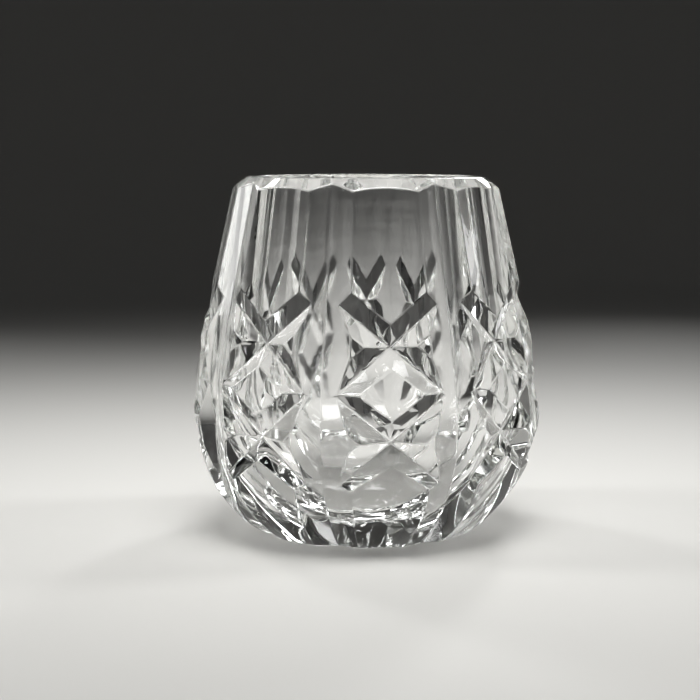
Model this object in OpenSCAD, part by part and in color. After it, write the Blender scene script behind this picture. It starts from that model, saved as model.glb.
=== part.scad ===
// Cut-glass toothpick holder: one heavy barrel-shaped glass cup.
// Its wall is cut into upright panels that are flat across, with a V-shaped flute between each two.
// Every panel carries two mitre-cut crosses, which leave a diamond between them. The cup stands on its
// ground foot, with +Z up through its mouth.

/* [Cup] */
// Height from the foot to the rim
cup_h = 57; // [54:0.5:62]
// Distance from the axis to a panel's flat where the barrel is widest
belly_r = 27.6; // [27:0.1:31]
// Height of the widest place above the foot
belly_z = 19; // [17:0.5:21]
// Radius of the curve from the belly up to the neck
shoulder_arc = 56.6; // [45:0.2:70]
// Lean of the straight neck from upright, in degrees
neck_lean = 12.6; // [10:0.1:14]
// Radius of the curve from the belly down to the foot
foot_arc = 22.9; // [22:0.1:26]

/* [Well] */
// Thickness of the wall between the belly and the hollow's widest place
wall_t = 7.2; // [6.5:0.1:9]
// Height of the hollow's widest place above the foot
well_z = 24; // [22:0.5:27]
// Radius of the curve from the hollow's widest place up to its neck
well_shoulder_arc = 56.6; // [45:0.2:70]
// Lean of the hollow's straight neck from upright, in degrees
well_lean = 6; // [4:0.1:8]
// Thickness of solid glass under the hollow
floor_t = 7.5; // [6:0.5:12]

/* [Rim] */
// Width of the flat ground lip
lip_w = 1.7; // [1:0.1:2]
// Height of the bevel outside the lip, at the middle of a panel
rim_bevel_h = 1.4; // [0.8:0.1:2]

/* [Flutes] */
// Number of panels, and of the upright flutes between them
panels = 8; // [8:1:9]
// Distance of a flute's facet in from the belly
flute_inset = 1.7; // [1.5:0.1:2.2]
// Turn of each facet from facing straight out, in degrees
flute_turn = 15; // [13:0.5:18]
// Lean of the flute's straight upper part, in degrees
flute_lean = 11.7; // [10:0.1:12.5]
// Radius of the flute's curve from the belly down to the foot
flute_foot_arc = 23.1; // [22.5:0.1:25]

/* [Diamonds] */
// Height of the upper cross above the foot
upper_cross_z = 32.1; // [31.5:0.1:33.5]
// Height of the lower cross above the foot
lower_cross_z = 18.1; // [17.8:0.1:19]
// Depth of the upper cuts at the middle of their cross
upper_mitre_depth = 1.35; // [1:0.05:1.5]
// Depth of the lower cuts at the middle of their cross
lower_mitre_depth = 1.55; // [1.2:0.05:1.7]
// Angle between the two sides of a mitre cut, in degrees
mitre_angle = 126; // [115:1:135]
// Climb of a mitre cut from level, in degrees
mitre_climb = 40.5; // [38:0.5:43]
// Radius of the curve that the lower cuts follow across their panel
lower_mitre_arc = 115; // [90:5:160]
// Length of a mitre cut from the middle of its cross to each end
mitre_reach = 12.8; // [12:0.1:13.5]

/* [Hidden] */

$fn = 96;

// Room that a cutting shape has beyond the glass
spare = 3;
well_r = belly_r - wall_t;
well_floor_arc = well_z - floor_t;
pitch = 360 / panels;
// Radius of the blank, which leaves the corners between the panels some room
blank_r = belly_r / cos(pitch / 2) + spare;

// Height and radius at which a barrel's shoulder curve turns into its straight neck
function neck_z(z, arc, lean) = z + arc * sin(lean);
function neck_r(r, arc, lean) = r - arc * (1 - cos(lean));

// Radius of a barrel's straight neck at height h
function neck_r_at(h, r, z, arc, lean) = neck_r(r, arc, lean) - tan(lean) * (h - neck_z(z, arc, lean));

// Distance from the axis to a panel's flat at height h: on its foot curve, its shoulder curve or its neck
function on_arc_r(h, arc) = belly_r - arc + sqrt(arc * arc - (h - belly_z) * (h - belly_z));
function side_r(h) = h < belly_z ? on_arc_r(h, foot_arc)
    : h < neck_z(belly_z, shoulder_arc, neck_lean) ? on_arc_r(h, shoulder_arc)
    : neck_r_at(h, belly_r, belly_z, shoulder_arc, neck_lean);

mouth_r = neck_r_at(cup_h, well_r, well_z, well_shoulder_arc, well_lean);
lip_r = mouth_r + lip_w;
bevel_z = cup_h - rim_bevel_h;
bevel_slope = rim_bevel_h / (side_r(bevel_z) - lip_r);
flute_r = belly_r - flute_inset;
cross_h = mitre_reach * sin(mitre_climb);

// Lean of the glass from upright, over the middle half of the cross at height h
function cross_lean(h) = atan2(side_r(h - cross_h / 2) - side_r(h + cross_h / 2), cross_h);

// Half outline of a barrel from height low to high: a foot curve, a shoulder curve and a straight neck
module barrel_outline(r, z, arc, lean, foot, low, high) {
    turn_z = neck_z(z, arc, lean);
    turn_r = neck_r(r, arc, lean);
    intersection() {
        translate([r - foot, z]) circle(foot);
        translate([0, low]) square([r, z - low]);
    }
    if (r > foot) translate([0, low]) square([r - foot, z - low]);
    intersection() {
        translate([r - arc, z]) circle(arc);
        translate([0, z]) square([r, turn_z - z]);
    }
    polygon([
        [0, turn_z],
        [turn_r, turn_z],
        [turn_r - tan(lean) * (high - turn_z), high],
        [0, high],
    ]);
}

// Half outline of the blown blank, with its ground foot, bevel and lip
module blank_outline() {
    polygon([
        [0, 0],
        [blank_r, 0],
        [blank_r, cup_h - (blank_r - lip_r) * bevel_slope],
        [lip_r, cup_h],
        [0, cup_h],
    ]);
}

// Half outline of the hollow, carried on past the lip
module well_outline() {
    barrel_outline(well_r, well_z, well_shoulder_arc, well_lean, well_floor_arc, floor_t, cup_h + spare);
}

// All that lies outside one facet, which is flat across and curved in its height
module facet_cut(r, lean, foot, turn) {
    rotate([0, 0, turn])
        rotate([90, 0, 0])
            linear_extrude(belly_r, center = true)
                difference() {
                    translate([0, -spare]) square([blank_r + spare, cup_h + 2 * spare]);
                    barrel_outline(r, belly_z, shoulder_arc, lean, foot, -spare, cup_h + spare);
                }
}

// The upright V between two panels, where its two facets meet in a crease
module flute_cut() {
    intersection() {
        facet_cut(flute_r, flute_lean, flute_foot_arc, flute_turn);
        facet_cut(flute_r, flute_lean, flute_foot_arc, -flute_turn);
    }
}

// Section of a mitre cut, with its point on the bottom of the cut
module mitre_section(depth) {
    tall = depth + spare;
    polygon([
        [0, 0],
        [tall, -tall * tan(mitre_angle / 2)],
        [tall, tall * tan(mitre_angle / 2)],
    ]);
}

// One mitre cut that runs straight through the cross at height h, climbing to the left or the right
module straight_cut(h, depth, climb) {
    translate([side_r(h) - depth, 0, h])
        rotate([0, -cross_lean(h), 0])
            rotate([climb, 0, 0])
                rotate([90, 0, 0])
                    linear_extrude(2 * mitre_reach, center = true) mitre_section(depth);
}

// One mitre cut that runs through the cross at height h on a curve of radius arc
module curved_cut(h, depth, climb, arc) {
    lean = cross_lean(h);
    sweep = mitre_reach / arc * 180 / PI;
    translate([side_r(h) - depth - arc * cos(lean), 0, h - arc * sin(lean)])
        rotate([0, -lean, 0])
            rotate([climb, 0, 0])
                rotate([0, 0, -sweep])
                    rotate_extrude(angle = 2 * sweep)
                        translate([arc, 0]) mitre_section(depth);
}

// Copies of a cut, one a panel, the first turned from the front by the given angle
module round_the_cup(from) {
    for (i = [0:panels - 1])
        rotate([0, 0, i * pitch + from - 90]) children();
}

// The blown blank with its panels, its hollow and its upright flutes
module fluted_blank() {
    difference() {
        difference() {
            difference() {
                rotate_extrude() blank_outline();
                round_the_cup(0) facet_cut(belly_r, neck_lean, foot_arc, 0);
            }
            rotate_extrude() well_outline();
        }
        round_the_cup(pitch / 2) flute_cut();
    }
}

// The cuts of one climb through all upper crosses, straight along the neck
module upper_cuts(climb) {
    round_the_cup(0) straight_cut(upper_cross_z, upper_mitre_depth, climb);
}

// The cuts of one climb through all lower crosses, which bend in round the belly
module lower_cuts(climb) {
    round_the_cup(0) curved_cut(lower_cross_z, lower_mitre_depth, climb, lower_mitre_arc);
}

// The finished glass: each pass of the wheel cuts one arm of one cross on every panel
module glass_cup() {
    color([0.93, 0.95, 0.94, 0.35])
        difference() {
            difference() {
                difference() {
                    difference() {
                        fluted_blank();
                        upper_cuts(mitre_climb);
                    }
                    upper_cuts(-mitre_climb);
                }
                lower_cuts(mitre_climb);
            }
            lower_cuts(-mitre_climb);
        }
}

glass_cup();
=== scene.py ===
import math
import random

import bmesh
import bpy
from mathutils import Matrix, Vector
from mathutils.bvhtree import BVHTree
from mathutils.geometry import delaunay_2d_cdt
from mathutils.interpolate import poly_3d_calc


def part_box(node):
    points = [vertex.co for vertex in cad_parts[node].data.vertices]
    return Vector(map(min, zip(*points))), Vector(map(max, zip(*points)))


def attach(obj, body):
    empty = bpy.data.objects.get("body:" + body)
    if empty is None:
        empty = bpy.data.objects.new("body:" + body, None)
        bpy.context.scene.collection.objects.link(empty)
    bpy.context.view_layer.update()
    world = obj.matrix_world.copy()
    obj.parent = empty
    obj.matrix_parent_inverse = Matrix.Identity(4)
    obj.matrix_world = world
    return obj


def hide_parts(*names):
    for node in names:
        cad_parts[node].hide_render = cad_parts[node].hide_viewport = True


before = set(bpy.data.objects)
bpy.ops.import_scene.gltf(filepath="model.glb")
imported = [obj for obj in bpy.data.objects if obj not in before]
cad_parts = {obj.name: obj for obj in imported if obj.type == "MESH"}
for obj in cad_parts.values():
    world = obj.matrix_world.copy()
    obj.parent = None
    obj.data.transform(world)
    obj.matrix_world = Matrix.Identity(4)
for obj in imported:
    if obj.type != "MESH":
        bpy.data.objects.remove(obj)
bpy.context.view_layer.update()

# Glass cup.
# One heavy piece of clear glass, blown thick as a barrel, then cut on wheels and polished. Flat panels and
# V-shaped flutes run up it, and two crosses of mitre cuts leave a diamond on each panel.
MM = 0.001
PANELS = 8
HALF_PANEL = math.pi / PANELS
CUP_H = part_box("glass_cup")[1].z
# Radius at which the outside is unrolled, and one that lies well outside the glass
MID_R = 25 * MM
FAR_OUT = 40 * MM
# Polishing leaves a soft line of this half width along every edge and at the bottom of every cut
ARRIS = 0.2 * MM
# Spacing of the mesh along the edges and on the faces between them
ARRIS_STEP = 0.38 * MM
FACE_STEP = 0.95 * MM
# Two surfaces that turn by more than this meet in an edge
SHARP = math.cos(math.radians(4))

cad_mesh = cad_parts["glass_cup"].data
cad_points = [v.co.copy() for v in cad_mesh.vertices]
cad_faces = [tuple(p.vertices) for p in cad_mesh.polygons]
cad_normals = [n.vector.copy() for n in cad_mesh.corner_normals]
cad_surface = BVHTree.FromPolygons(cad_points, cad_faces)


# A line that slips between two triangles of the CAD cup is tried again this far to one side and the other
HAIR = Vector((1, 1, 1)) * 0.0002 * MM


def touch(start, direction):
    """Where a line meets the CAD cup, and which way the surface faces there."""
    for side in (0, 1, -1):
        place, _, index, _ = cad_surface.ray_cast(start + HAIR * side, direction)
        if place is not None:
            break
    weights = poly_3d_calc([cad_points[v] for v in cad_faces[index]], place)
    facing = Vector()
    for corner, weight in zip(cad_mesh.polygons[index].loop_indices, weights):
        facing += cad_normals[corner] * weight
    return place, facing.normalized()


def outward(angle):
    return Vector((math.sin(angle), -math.cos(angle), 0))


def sideward(angle):
    return Vector((math.cos(angle), math.sin(angle), 0))


# A surface that is nearly edge-on counts as facing out by at least this much, to keep its lean in bounds
EDGE_ON = 0.1


def outside(angle, z):
    """Radius of the cut outside, and its lean sideways and upwards."""
    out = outward(angle)
    place, facing = touch(out * FAR_OUT + Vector((0, 0, z)), -out)
    depth = max(facing.dot(out), EDGE_ON)
    return place.xy.length, facing.dot(sideward(angle)) / depth, facing.z / depth


# The rim and the foot are looked up this far inside the glass
NEAR_END = 0.002 * MM
# Polishing evens a place out with two rounds of places about it: how many, and how far off in arrises
POLISH_ROUNDS = ((6, 0.45), (12, 0.9))
spread = [(0, 0)]
for count, share in POLISH_ROUNDS:
    for i in range(count):
        turn = 2 * math.pi * i / count
        spread.append((ARRIS * share * math.cos(turn), ARRIS * share * math.sin(turn)))


def polished(angle, z):
    """Place and facing on the outside once polishing has evened it out over the width of an arris."""
    r = outside(angle, z)[0]
    found = [outside(angle + side / r, min(max(z + up, NEAR_END), CUP_H - NEAR_END))
             for side, up in spread]
    r, side_lean, up_lean = (sum(values) / len(found) for values in zip(*found))
    facing = outward(angle) + sideward(angle) * side_lean + Vector((0, 0, up_lean))
    return outward(angle) * r + Vector((0, 0, z)), facing.normalized()


# The edges of the cuts on half a panel, from the places where two surfaces of the CAD cup meet at an angle.
# Each surface has points of its own, so those in the same place are taken as one. Slivers are left out.
SLIVER = 0.02 * MM
bm = bmesh.new()
bm.from_mesh(cad_mesh)
same = bmesh.ops.find_doubles(bm, verts=bm.verts, dist=SLIVER)["targetmap"]
spot_of = [same.get(v, v).index for v in bm.verts]
bm.free()
edge_facings = {}
for face in cad_mesh.polygons:
    ends = [(spot_of[v], cad_normals[c]) for v, c in zip(face.vertices, face.loop_indices)]
    if len({spot for spot, _ in ends}) < 3:
        continue
    for a, b in zip(ends, ends[1:] + ends[:1]):
        first, second = sorted((a, b), key=lambda end: end[0])
        edge_facings.setdefault((first[0], second[0]), []).append((first[1], second[1]))

# Half a panel on the unrolled outside runs from its middle to the crease of a flute, and from foot to lip
LOW_Z, TOP_Z = ARRIS, CUP_H - ARRIS
WIDE = HALF_PANEL * MID_R
# Places nearer than this are the same place
SNAP = 0.004 * MM
# A stretch that runs less than this along an axis is square to it
NO_RUN = 1e-12


def unrolled(point):
    """Place on the unrolled outside: the way round at the middle radius, and the height."""
    return math.atan2(point.x, -point.y) * MID_R, point.z


def clipped(a, b):
    """The part of a stretch of edge that lies on the half panel, or None."""
    start, end = 0.0, 1.0
    for axis, low, high in ((0, 0.0, WIDE), (1, LOW_Z, TOP_Z)):
        run = b[axis] - a[axis]
        if abs(run) < NO_RUN:
            if not low - SNAP <= a[axis] <= high + SNAP:
                return None
            continue
        t = sorted(((low - a[axis]) / run, (high - a[axis]) / run))
        start, end = max(start, t[0]), min(end, t[1])
    if end <= start:
        return None
    return [tuple(a[k] + (b[k] - a[k]) * t for k in (0, 1)) for t in (start, end)]


def snapped(p):
    """The place, put exactly on the border of the half panel if it is next to it."""
    u, z = p
    for limit in (0.0, WIDE):
        if abs(u - limit) < SNAP:
            u = limit
    for limit in (LOW_Z, TOP_Z):
        if abs(z - limit) < SNAP:
            z = limit
    return u, z


def on_border(a, b):
    """Whether a stretch lies along one side of the half panel."""
    return (a[0] == b[0] and a[0] in (0.0, WIDE)) or (a[1] == b[1] and a[1] in (LOW_Z, TOP_Z))


# Edges inside the well and those that run across the seam at the back of the unrolled outside are left out
neighbours = {}
for (a, b), sides in edge_facings.items():
    if len(sides) != 2 or all(sides[0][k].dot(sides[1][k]) > SHARP for k in (0, 1)):
        continue
    a, b = cad_points[a], cad_points[b]
    if a.xy.length < outside(math.atan2(a.x, -a.y), min(max(a.z, LOW_Z), TOP_Z))[0] - ARRIS:
        continue
    a, b = unrolled(a), unrolled(b)
    if abs(a[0] - b[0]) > PANELS * WIDE:
        continue
    piece = clipped(a, b)
    if piece is None:
        continue
    a, b = (snapped(p) for p in piece)
    if math.dist(a, b) < SNAP or on_border(a, b):
        continue
    keys = [tuple(round(c / SNAP) for c in p) for p in (a, b)]
    for this, other, p in zip(keys, keys[::-1], (a, b)):
        neighbours.setdefault(this, (p, set()))[1].add(other)

# Each edge is followed from one end or corner to the next
arrises = []
followed = set()
for start in sorted(neighbours):
    if len(neighbours[start][1]) == 2:
        continue
    for step in sorted(neighbours[start][1]):
        if (start, step) in followed:
            continue
        path = [start, step]
        while len(neighbours[path[-1]][1]) == 2:
            ahead = (neighbours[path[-1]][1] - {path[-2]}).pop()
            path.append(ahead)
        for a, b in zip(path, path[1:]):
            followed.update(((a, b), (b, a)))
        arrises.append([neighbours[key][0] for key in path])


def evenly(path, step):
    """Points at even steps along a path, its ends among them."""
    runs = [math.dist(a, b) for a, b in zip(path, path[1:])]
    count = max(1, math.ceil(sum(runs) / step))
    points, i, done = [path[0]], 0, 0.0
    for k in range(1, count):
        goal = sum(runs) * k / count
        while done + runs[i] < goal:
            done += runs[i]
            i += 1
        t = (goal - done) / runs[i]
        points.append(tuple(path[i][c] + (path[i + 1][c] - path[i][c]) * t for c in (0, 1)))
    return points + [path[-1]]


arrises = [evenly(path, ARRIS_STEP) for path in arrises
           if sum(math.dist(a, b) for a, b in zip(path, path[1:])) > ARRIS]

# Points for the mesh of half a panel: its border, the edges, a row on each side of them, and an even field.
# They are kept in small cells, so that those near a place are quickly found.
CELL = ARRIS / 2
points = []
cells = {}


def add_point(p, gap=SNAP):
    """Index of a point at p, or of an earlier one that is nearer than the gap."""
    column, row = (math.floor(c / CELL) for c in p)
    reach = math.ceil(gap / CELL)
    near = [i for a in range(column - reach, column + reach + 1)
            for b in range(row - reach, row + reach + 1)
            for i in cells.get((a, b), ()) if math.dist(points[i], p) < gap]
    if near:
        return min(near, key=lambda i: math.dist(points[i], p))
    points.append(p)
    cells.setdefault((column, row), []).append(len(points) - 1)
    return len(points) - 1


MARK_GAP = 4 * SNAP


def marked(axis, limit, low, high, step):
    """Places along one side of the half panel: where edges meet it, and even steps between."""
    met = {path[k][1 - axis] for path in arrises for k in (0, -1) if path[k][axis] == limit}
    marks = sorted(met | {low, high})
    marks = [m for i, m in enumerate(marks) if i == 0 or m - marks[i - 1] > MARK_GAP]
    marks[-1] = high
    places = []
    for a, b in zip(marks, marks[1:]):
        count = max(1, math.ceil((b - a) / step))
        places += [a + (b - a) * k / count for k in range(count)]
    return places + [high]


RING_STEP = WIDE / 16
EDGE_GAP = 5 * SNAP
foot_ways = marked(1, LOW_Z, 0.0, WIDE, RING_STEP)
rim_ways = marked(1, TOP_Z, 0.0, WIDE, RING_STEP)
border = [(u, LOW_Z) for u in foot_ways]
border += [(WIDE, z) for z in marked(0, WIDE, LOW_Z, TOP_Z, ARRIS_STEP)[1:]]
border += [(u, TOP_Z) for u in rim_ways[-2::-1]]
border += [(0.0, z) for z in marked(0, 0.0, LOW_Z, TOP_Z, ARRIS_STEP)[-2:0:-1]]
border_loop = [add_point(p) for p in border]
constraints = set()
for path in arrises:
    ids = [add_point(p, EDGE_GAP) for p in path]
    constraints.update((a, b) for a, b in zip(ids, ids[1:]) if a != b)


def aside_of(p, a, b):
    """Distance of a place from a stretch of edge, on the unrolled outside."""
    run = b[0] - a[0], b[1] - a[1]
    t = ((p[0] - a[0]) * run[0] + (p[1] - a[1]) * run[1]) / (run[0] ** 2 + run[1] ** 2)
    t = min(max(t, 0.0), 1.0)
    return math.hypot(p[0] - a[0] - run[0] * t, p[1] - a[1] - run[1] * t)


# The rows keep clear of other edges, and the mesh points in them and in the field keep their own gaps
ROW_CLEAR = 0.7 * ARRIS
ROW_GAP = 0.6 * ARRIS
FIELD_GAP = 0.55 * FACE_STEP
stretches = [stretch for path in arrises for stretch in zip(path, path[1:])]
rows = []
for path in arrises + [[(WIDE, z) for u, z in border if u == WIDE]]:
    for a, b in zip(path, path[1:]):
        u, z = (a[0] + b[0]) / 2, (a[1] + b[1]) / 2
        widened = MID_R / outside(u / MID_R, z)[0]
        du, dz = (b[0] - a[0]) / widened, b[1] - a[1]
        run = math.hypot(du, dz)
        for side in (-ARRIS, ARRIS):
            beside = u - dz / run * side * widened, z + du / run * side
            if all(aside_of(beside, *other) > ROW_CLEAR for other in stretches):
                rows.append(beside)
# The field is slightly uneven, so that its rows never line up with a cut
SEED = 3
UNEVEN = 0.08 * MM
chance = random.Random(SEED)
ROW_RISE = FACE_STEP * math.sqrt(3) / 2
field = []
row_count = math.ceil((TOP_Z - LOW_Z) / ROW_RISE)
for i in range(1, row_count):
    for j in range(math.ceil(WIDE / FACE_STEP) + 1):
        u, z = (j + i % 2 / 2) * FACE_STEP, LOW_Z + (TOP_Z - LOW_Z) * i / row_count
        field.append((u + chance.uniform(-UNEVEN, UNEVEN), z + chance.uniform(-UNEVEN, UNEVEN)))
for group, gap in ((rows, ROW_GAP), (field, FIELD_GAP)):
    for u, z in group:
        if gap / 2 < u < WIDE - gap / 2 and LOW_Z + gap / 2 < z < TOP_Z - gap / 2:
            add_point((u, z), gap)

# Triangles are made in millimetres, inside the border only
INSIDE_ONLY = 1
SAME_SPOT = 1e-6
flat_points, _, flat_faces, _, _, _ = delaunay_2d_cdt(
    [Vector(p) / MM for p in points], sorted(constraints), [border_loop], INSIDE_ONLY, SAME_SPOT)
flat_points = [snapped(p * MM) for p in flat_points]

# The flutes' facets face this way round, and keep a haze that fades out towards the foot
FLUTE_FACING = math.radians(37.5)
FLUTE_WITHIN = math.radians(6)
HAZE_LOW, HAZE_FULL = 14 * MM, 24 * MM
half_panel = []
fluted = []
for u, z in flat_points:
    angle = u / MID_R
    place, facing = polished(angle, z)
    f_out, f_side = facing.dot(outward(angle)), facing.dot(sideward(angle))
    half_panel.append((angle, place.xy.length, z, f_out, f_side, facing.z))
    on_flute = abs(angle + math.atan2(f_side, f_out) - FLUTE_FACING) < FLUTE_WITHIN
    fluted.append(min(max((z - HAZE_LOW) / (HAZE_FULL - HAZE_LOW), 0.0), 1.0) if on_flute else 0.0)

# The half panel is turned and mirrored round the cup
places, facings, blown, faces = [], [], [], []
fluted *= 2 * PANELS
for panel in range(PANELS):
    for mirror in (1, -1):
        first = len(places)
        for angle, r, z, f_out, f_side, f_up in half_panel:
            turned = 2 * HALF_PANEL * panel + mirror * angle
            places.append(outward(turned) * r + Vector((0, 0, z)))
            across = sideward(turned) * f_side * mirror
            facings.append(outward(turned) * f_out + across + Vector((0, 0, f_up)))
            blown.append(0.0)
        faces += [tuple(first + v for v in face[::mirror]) for face in flat_faces]


def round_the_cup(ways):
    """Angles all round the cup for the ways round half a panel."""
    half = [u / MID_R for u in ways]
    angles = []
    for panel in range(PANELS):
        middle = 2 * HALF_PANEL * panel
        angles += [middle - a for a in half[:0:-1]] + [middle + a for a in half[:-1]]
    return angles


def add_ring(angles, ring, inside=0.0):
    """Adds a ring of points and gives their indices; ring has (radius, height, facing out, facing up)."""
    first = len(places)
    for angle, (r, z, f_out, f_up) in zip(angles, ring):
        places.append(outward(angle) * r + Vector((0, 0, z)))
        facings.append((outward(angle) * f_out + Vector((0, 0, f_up))).normalized())
        blown.append(inside)
    return range(first, len(places))


def close_rings(rings, middle_z, f_up, inside=0.0):
    """Faces between each ring and the next, and from the last ring to a point on the axis."""
    for low, high in zip(rings, rings[1:]):
        for k in range(len(low)):
            n = (k + 1) % len(low)
            faces.append((low[k], low[n], high[n], high[k]))
    places.append(Vector((0, 0, middle_z)))
    facings.append(Vector((0, 0, f_up)))
    blown.append(inside)
    last = rings[-1]
    faces.extend((last[k], last[(k + 1) % len(last)], len(places) - 1) for k in range(len(last)))


EASE_ROWS = 3


def eased(start, edge, end, f_start, f_end):
    """Rows of a soft edge from start to end, both included, that stay inside the sharp edge."""
    made = []
    for i in range(EASE_ROWS + 1):
        t = i / EASE_ROWS
        mix = (1 - t) ** 2, 2 * t * (1 - t), t ** 2
        r, z = (sum(m * p[k] for m, p in zip(mix, (start, edge, end))) for k in (0, 1))
        made.append((r, z, *((1 - t) * f_start[k] + t * f_end[k] for k in (0, 1))))
    return made


# Half panels are alike, so what is found on one is kept for the others, by the angle from a panel's middle
FOLDS_PER_RADIAN = 1e7
folded = {}


def end_radius(angle, z):
    """Radius at the rim or foot, radius and facing an arris away from it, alike on each half panel."""
    fold = abs((angle + HALF_PANEL) % (2 * HALF_PANEL) - HALF_PANEL)
    key = round(fold * FOLDS_PER_RADIAN), z
    if key not in folded:
        aside = [ARRIS * k / 2 / MID_R for k in (-2, -1, 0, 1, 2)]
        sharp = sum(outside(fold + a, z)[0] for a in aside) / len(aside)
        inner, facing = polished(fold, LOW_Z if z < CUP_H / 2 else TOP_Z)
        folded[key] = sharp, inner.xy.length, facing.dot(outward(fold)), facing.z
    return folded[key]


def well_wall(place, facing):
    """Radius, height, facing out and facing up of a place on the front of the well."""
    return place.xy.length, place.z, facing.dot(outward(0)), facing.z


# Lip: the outer edge, the flat, and the inner edge of the mouth. Facings are given as (out, up).
UP, DOWN = (0, 1), (0, -1)
angles = round_the_cup(rim_ways)
outer_edge = []
for angle in angles:
    sharp, inner, f_out, f_up = end_radius(angle, CUP_H - NEAR_END)
    outer_edge.append(eased((inner, TOP_Z), (sharp, CUP_H), (sharp - ARRIS, CUP_H), (f_out, f_up), UP))
mouth_r = well_wall(*touch(Vector((0, 0, CUP_H - NEAR_END)), outward(0)))[0]
wall_r, _, f_out, f_up = well_wall(*touch(Vector((0, 0, TOP_Z)), outward(0)))
mouth_edge = eased((mouth_r + ARRIS, CUP_H), (mouth_r, CUP_H), (wall_r, TOP_Z), UP, (f_out, f_up))
rings = [add_ring(angles, row) for row in zip(*outer_edge)]
rings += [add_ring(angles, [row] * len(angles)) for row in mouth_edge]

# Well: down its wall to its widest place, and from there in across its rounded floor
WELL_STEP = 1.1 * MM
WELL_MID = 24 * MM
BOWL_ROWS = 26
well_lines = []
steps = round((TOP_Z - WELL_MID) / WELL_STEP)
for i in range(1, steps + 1):
    well_lines.append((TOP_Z + (WELL_MID - TOP_Z) * i / steps, outward(0)))
for i in range(1, BOWL_ROWS):
    dip = math.pi / 2 * i / BOWL_ROWS
    well_lines.append((WELL_MID, outward(0) * math.cos(dip) - Vector((0, 0, math.sin(dip)))))
for z, aim in well_lines:
    row = well_wall(*touch(Vector((0, 0, z)), aim))
    rings.append(add_ring(angles, [row] * len(angles), 1.0))
floor_z = touch(Vector((0, 0, WELL_MID)), Vector((0, 0, -1)))[0].z
close_rings(rings, floor_z, 1, 1.0)

# Foot: the soft outer edge and the flat that the cup stands on, with rings at shares of its radius
FOOT_SHARES = (0.8, 0.5, 0.2)
angles = round_the_cup(foot_ways)
foot_edge = []
for angle in angles:
    sharp, inner, f_out, f_up = end_radius(angle, NEAR_END)
    foot_edge.append(eased((inner, LOW_Z), (sharp, 0), (sharp - ARRIS, 0), (f_out, f_up), DOWN))
rings = [add_ring(angles, row) for row in zip(*foot_edge)]
for share in FOOT_SHARES:
    rings.append(add_ring(angles, [(row[-1][0] * share, 0, 0, -1) for row in foot_edge]))
close_rings(rings, 0, -1)

# The copies are joined where they meet
WELD = 0.01 * MM
merged, order, kept = {}, [], []
for i, place in enumerate(places):
    key = tuple(round(c / WELD) for c in place)
    if key not in merged:
        merged[key] = len(kept)
        kept.append(i)
    order.append(merged[key])
mesh = bpy.data.meshes.new("cut_glass_cup")
joined = [tuple(dict.fromkeys(order[v] for v in face)) for face in faces]
mesh.from_pydata([places[i] for i in kept], [], [face for face in joined if len(face) > 2])
bm = bmesh.new()
bm.from_mesh(mesh)
bmesh.ops.recalc_face_normals(bm, faces=bm.faces)
bm.to_mesh(mesh)
bm.free()
mesh.shade_smooth()
mesh.normals_split_custom_set_from_vertices([facings[i] for i in kept])
fluted += [0.0] * (len(places) - len(fluted))
for name, values in (("blown", blown), ("fluted", fluted)):
    attribute = mesh.attributes.new(name, "FLOAT", "POINT")
    attribute.data.foreach_set("value", [values[i] for i in kept])
cup = bpy.data.objects.new("cut_glass_cup", mesh)
bpy.context.scene.collection.objects.link(cup)
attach(cup, "root")
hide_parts("glass_cup")


def linear(hex_colour):
    """An sRGB hex colour as the linear colour, with full alpha, that a socket takes."""
    channels = [int(hex_colour[i:i + 2], 16) / 255 for i in (1, 3, 5)]
    return [c / 12.92 if c <= 0.04045 else ((c + 0.055) / 1.055) ** 2.4 for c in channels] + [1]


def add_node(tree, kind, settings=None, links=None):
    """Adds a node, sets its sockets and properties, and links the outputs given into it."""
    node = tree.nodes.new(kind)
    for name, value in (settings or {}).items():
        if isinstance(name, int) or name in node.inputs:
            node.inputs[name].default_value = value
        else:
            setattr(node, name, value)
    for name, source in (links or {}).items():
        tree.links.new(source, node.inputs[name])
    return node


def new_material(name):
    """A material with an empty node tree."""
    material = bpy.data.materials.new(name)
    material.use_nodes = True
    material.node_tree.nodes.clear()
    return material


# Lead crystal, cut on wheels and polished in acid: clear and bright, with a faint grey in its thickness.
# The polish leaves a slight swim and a fine wheel grain on the cuts, and the flutes keep a grey haze. The
# inside, which is as it was blown, has low rings round it, and a thin film of dust dulls it in patches.
# The wheel grain is drawn coarser than it is, or it would not show.
SWIM = 6 * MM
SWIM_DEPTH = 0.02 * MM
GRAIN = 0.9 * MM
GRAIN_DEPTH = 0.002 * MM
RING_RISE = 2.2 * MM
RING_RUN = 18 * MM
RING_DEPTH = 0.03 * MM
FILM = 9 * MM
FILM_BARE, FILM_FULL = 0.5, 0.75
FILM_DULL = 0.035
HAZE_THIN, HAZE_DULL = 0.08, 0.13
crystal = new_material("cut_polished_crystal")
tree = crystal.node_tree
spot = add_node(tree, "ShaderNodeTexCoord").outputs["Object"]
inside = add_node(tree, "ShaderNodeAttribute", {"attribute_name": "blown"}).outputs["Fac"]
swim = add_node(tree, "ShaderNodeTexNoise", {"Scale": 1 / SWIM, "Detail": 1.0}, {"Vector": spot})
grain = add_node(tree, "ShaderNodeTexNoise", {"Scale": 1 / GRAIN, "Detail": 2.0}, {"Vector": spot})
drawn = add_node(tree, "ShaderNodeMapping", {"Scale": (1 / RING_RUN, 1 / RING_RUN, 1 / RING_RISE)},
                 {"Vector": spot})
blow_rings = add_node(tree, "ShaderNodeTexNoise", {"Scale": 1.0, "Detail": 1.0},
                      {"Vector": drawn.outputs[0]})
inside_rings = add_node(tree, "ShaderNodeMath", {"operation": "MULTIPLY"},
                        {0: blow_rings.outputs[0], 1: inside})
uneven = add_node(tree, "ShaderNodeBump", {"Distance": SWIM_DEPTH}, {"Height": swim.outputs[0]})
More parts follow.
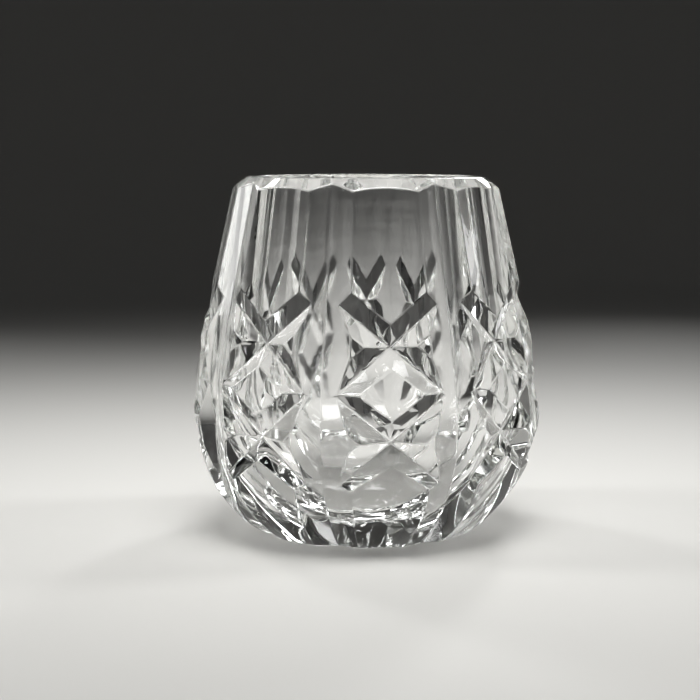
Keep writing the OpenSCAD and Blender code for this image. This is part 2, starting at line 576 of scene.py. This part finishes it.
ringed = add_node(tree, "ShaderNodeBump", {"Distance": RING_DEPTH},
                  {"Height": inside_rings.outputs[0], "Normal": uneven.outputs[0]})
wheeled = add_node(tree, "ShaderNodeBump", {"Distance": GRAIN_DEPTH},
                   {"Height": grain.outputs[0], "Normal": ringed.outputs[0]})
film = add_node(tree, "ShaderNodeTexNoise", {"Scale": 1 / FILM, "Detail": 4.0}, {"Vector": spot})
dull = add_node(tree, "ShaderNodeMapRange",
                {"From Min": FILM_BARE, "From Max": FILM_FULL, "To Max": FILM_DULL},
                {"Value": film.outputs[0]})
dusty = add_node(tree, "ShaderNodeMath", {"operation": "MULTIPLY"}, {0: dull.outputs[0], 1: inside})
hazy = add_node(tree, "ShaderNodeAttribute", {"attribute_name": "fluted"}).outputs["Fac"]
haze = add_node(tree, "ShaderNodeMapRange", {"To Min": HAZE_THIN, "To Max": HAZE_DULL},
                {"Value": film.outputs[0]})
hazed = add_node(tree, "ShaderNodeMath", {"operation": "MULTIPLY"}, {0: haze.outputs[0], 1: hazy})
dulled = add_node(tree, "ShaderNodeMath", {"operation": "ADD"},
                  {0: dusty.outputs[0], 1: hazed.outputs[0]})
glass = add_node(tree, "ShaderNodeBsdfPrincipled", {
    "Base Color": linear("#ffffff"),
    "IOR": 1.54,
    "Transmission Weight": 1.0,
}, {"Normal": wheeled.outputs[0], "Roughness": dulled.outputs[0]})
thickness = add_node(tree, "ShaderNodeVolumeAbsorption", {"Color": linear("#e6e9e2"), "Density": 6.0})
add_node(tree, "ShaderNodeOutputMaterial",
         links={"Surface": glass.outputs[0], "Volume": thickness.outputs[0]})
mesh.materials.append(crystal)

# Studio sweep.
# A pale matt sheet of paper that the cup stands on, turned up all round into a low wall.
# It is not part of the object.
FLAT_R = 0.40
WALL_R = 0.95
WALL_H = 0.38
ROUNDS = 96
FLAT_ROWS = 8
BEND_ROWS = 24
DROP = 0.1 * MM

sweep_outline = [(FLAT_R * i / FLAT_ROWS, -DROP) for i in range(1, FLAT_ROWS + 1)]
for i in range(1, BEND_ROWS + 1):
    turn = math.pi / 2 * i / BEND_ROWS
    r = FLAT_R + (WALL_R - FLAT_R) * math.sin(turn)
    sweep_outline.append((r, WALL_H * (1 - math.cos(turn)) - DROP))
around = [2 * math.pi * k / ROUNDS for k in range(ROUNDS)]
bm = bmesh.new()
rings = []
for r, z in sweep_outline:
    rings.append([bm.verts.new(outward(a) * r + Vector((0, 0, z))) for a in around])
bm.faces.new(rings[0])
for inner, outer in zip(rings, rings[1:]):
    for k in range(ROUNDS):
        n = (k + 1) % ROUNDS
        bm.faces.new((inner[k], outer[k], outer[n], inner[n]))
mesh = bpy.data.meshes.new("studio_sweep")
bm.to_mesh(mesh)
bm.free()
mesh.shade_smooth()
sweep = bpy.data.objects.new("studio_sweep", mesh)
bpy.context.scene.collection.objects.link(sweep)

# Uncoated paper, matt and faintly warm: it spreads the light evenly and shows no reflection of the cup
paper = new_material("matt_paper")
tree = paper.node_tree
matt = add_node(tree, "ShaderNodeBsdfPrincipled", {
    "Base Color": linear("#d2d1cd"),
    "Roughness": 0.7,
    "Specular IOR Level": 0.2,
})
add_node(tree, "ShaderNodeOutputMaterial", links={"Surface": matt.outputs[0]})
mesh.materials.append(paper)

# Studio light.
# Softboxes with grids hang in a dim room, one overhead and upright strips round the cup, with black cards
# between them that the glass shows as its dark facets. The sweep falls into shade behind the cup.
# The grid is the angle over which a softbox sends its light.
GRID = math.radians(55)
room = bpy.data.worlds.new("dim_room")
bpy.context.scene.world = room
room.use_nodes = True
room.node_tree.nodes["Background"].inputs["Color"].default_value = linear("#363636")


def softbox(name, azimuth, out, up, wide, tall, glow):
    """A softbox at an azimuth from the front, aimed at the cup; glow is its power for its size."""
    lamp = bpy.data.lights.new(name, "AREA")
    lamp.shape = "RECTANGLE"
    lamp.size = wide
    lamp.size_y = tall
    lamp.spread = GRID
    lamp.energy = glow * math.pi * wide * tall
    box = bpy.data.objects.new(name, lamp)
    bpy.context.scene.collection.objects.link(box)
    box.location = outward(math.radians(azimuth)) * out + Vector((0, 0, up))
    aim = Vector((0, 0, CUP_H / 2)) - box.location
    box.rotation_euler = aim.to_track_quat("-Z", "Y").to_euler()
    box.visible_camera = False


# Azimuth in degrees; distance out, height, width and tallness in metres; glow
softbox("overhead", 0, 0.08, 0.46, 0.26, 0.24, 1.15)
softbox("strip_left", -100, 0.36, 0.22, 0.08, 0.26, 1.1)
softbox("strip_right", 95, 0.36, 0.22, 0.08, 0.26, 1.1)
softbox("strip_behind_left", -150, 0.4, 0.26, 0.05, 0.26, 1.5)
softbox("strip_behind_right", 152, 0.4, 0.26, 0.05, 0.26, 1.5)

CARD_OUT = 0.46
CARD_W = 0.2
CARD_H = 0.26
CARD_AZIMUTHS = (-148, -122, -62, 58, 122, 148)
# Black card, matt all over, so that the glass shows it as an even dark
card_black = new_material("black_card")
matt = add_node(card_black.node_tree, "ShaderNodeBsdfDiffuse", {"Color": linear("#080808")})
add_node(card_black.node_tree, "ShaderNodeOutputMaterial", links={"Surface": matt.outputs[0]})
for azimuth in CARD_AZIMUTHS:
    angle = math.radians(azimuth)
    middle, half = outward(angle) * CARD_OUT, sideward(angle) * CARD_W / 2
    up = Vector((0, 0, CARD_H))
    name = "card_%d" % (azimuth % 360)
    mesh = bpy.data.meshes.new(name)
    corners = [middle - half, middle + half, middle + half + up, middle - half + up]
    mesh.from_pydata(corners, [], [(0, 1, 2, 3)])
    mesh.materials.append(card_black)
    card = bpy.data.objects.new(name, mesh)
    bpy.context.scene.collection.objects.link(card)
    card.visible_camera = False
    card.visible_shadow = False
    card.visible_diffuse = False

# Camera.
# It looks slightly down on the cup, with one panel a little to the right of the middle.
VIEW_TURN = math.radians(8.5)
VIEW_DIST = 0.27
VIEW_Z = 0.0619
VIEW_PITCH = math.radians(7.0)
IMAGE_PX = 700
FOCAL_PX = 1669
AXIS_PX = 365

lens = bpy.data.cameras.new("camera")
lens.sensor_width = 36
lens.lens = lens.sensor_width * FOCAL_PX / IMAGE_PX
lens.clip_start = 0.01
camera = bpy.data.objects.new("camera", lens)
bpy.context.scene.collection.objects.link(camera)
camera.location = outward(-VIEW_TURN) * VIEW_DIST + Vector((0, 0, VIEW_Z))
aside = math.atan((AXIS_PX - IMAGE_PX / 2) / FOCAL_PX)
camera.rotation_euler = (math.radians(90) - VIEW_PITCH, 0, aside - VIEW_TURN)
bpy.context.scene.camera = camera
bpy.context.scene.view_settings.view_transform = "Standard"

# Light goes through many facets before it leaves the glass
bpy.context.scene.cycles.max_bounces = 24
bpy.context.scene.cycles.transmission_bounces = 24
bpy.context.scene.cycles.glossy_bounces = 12
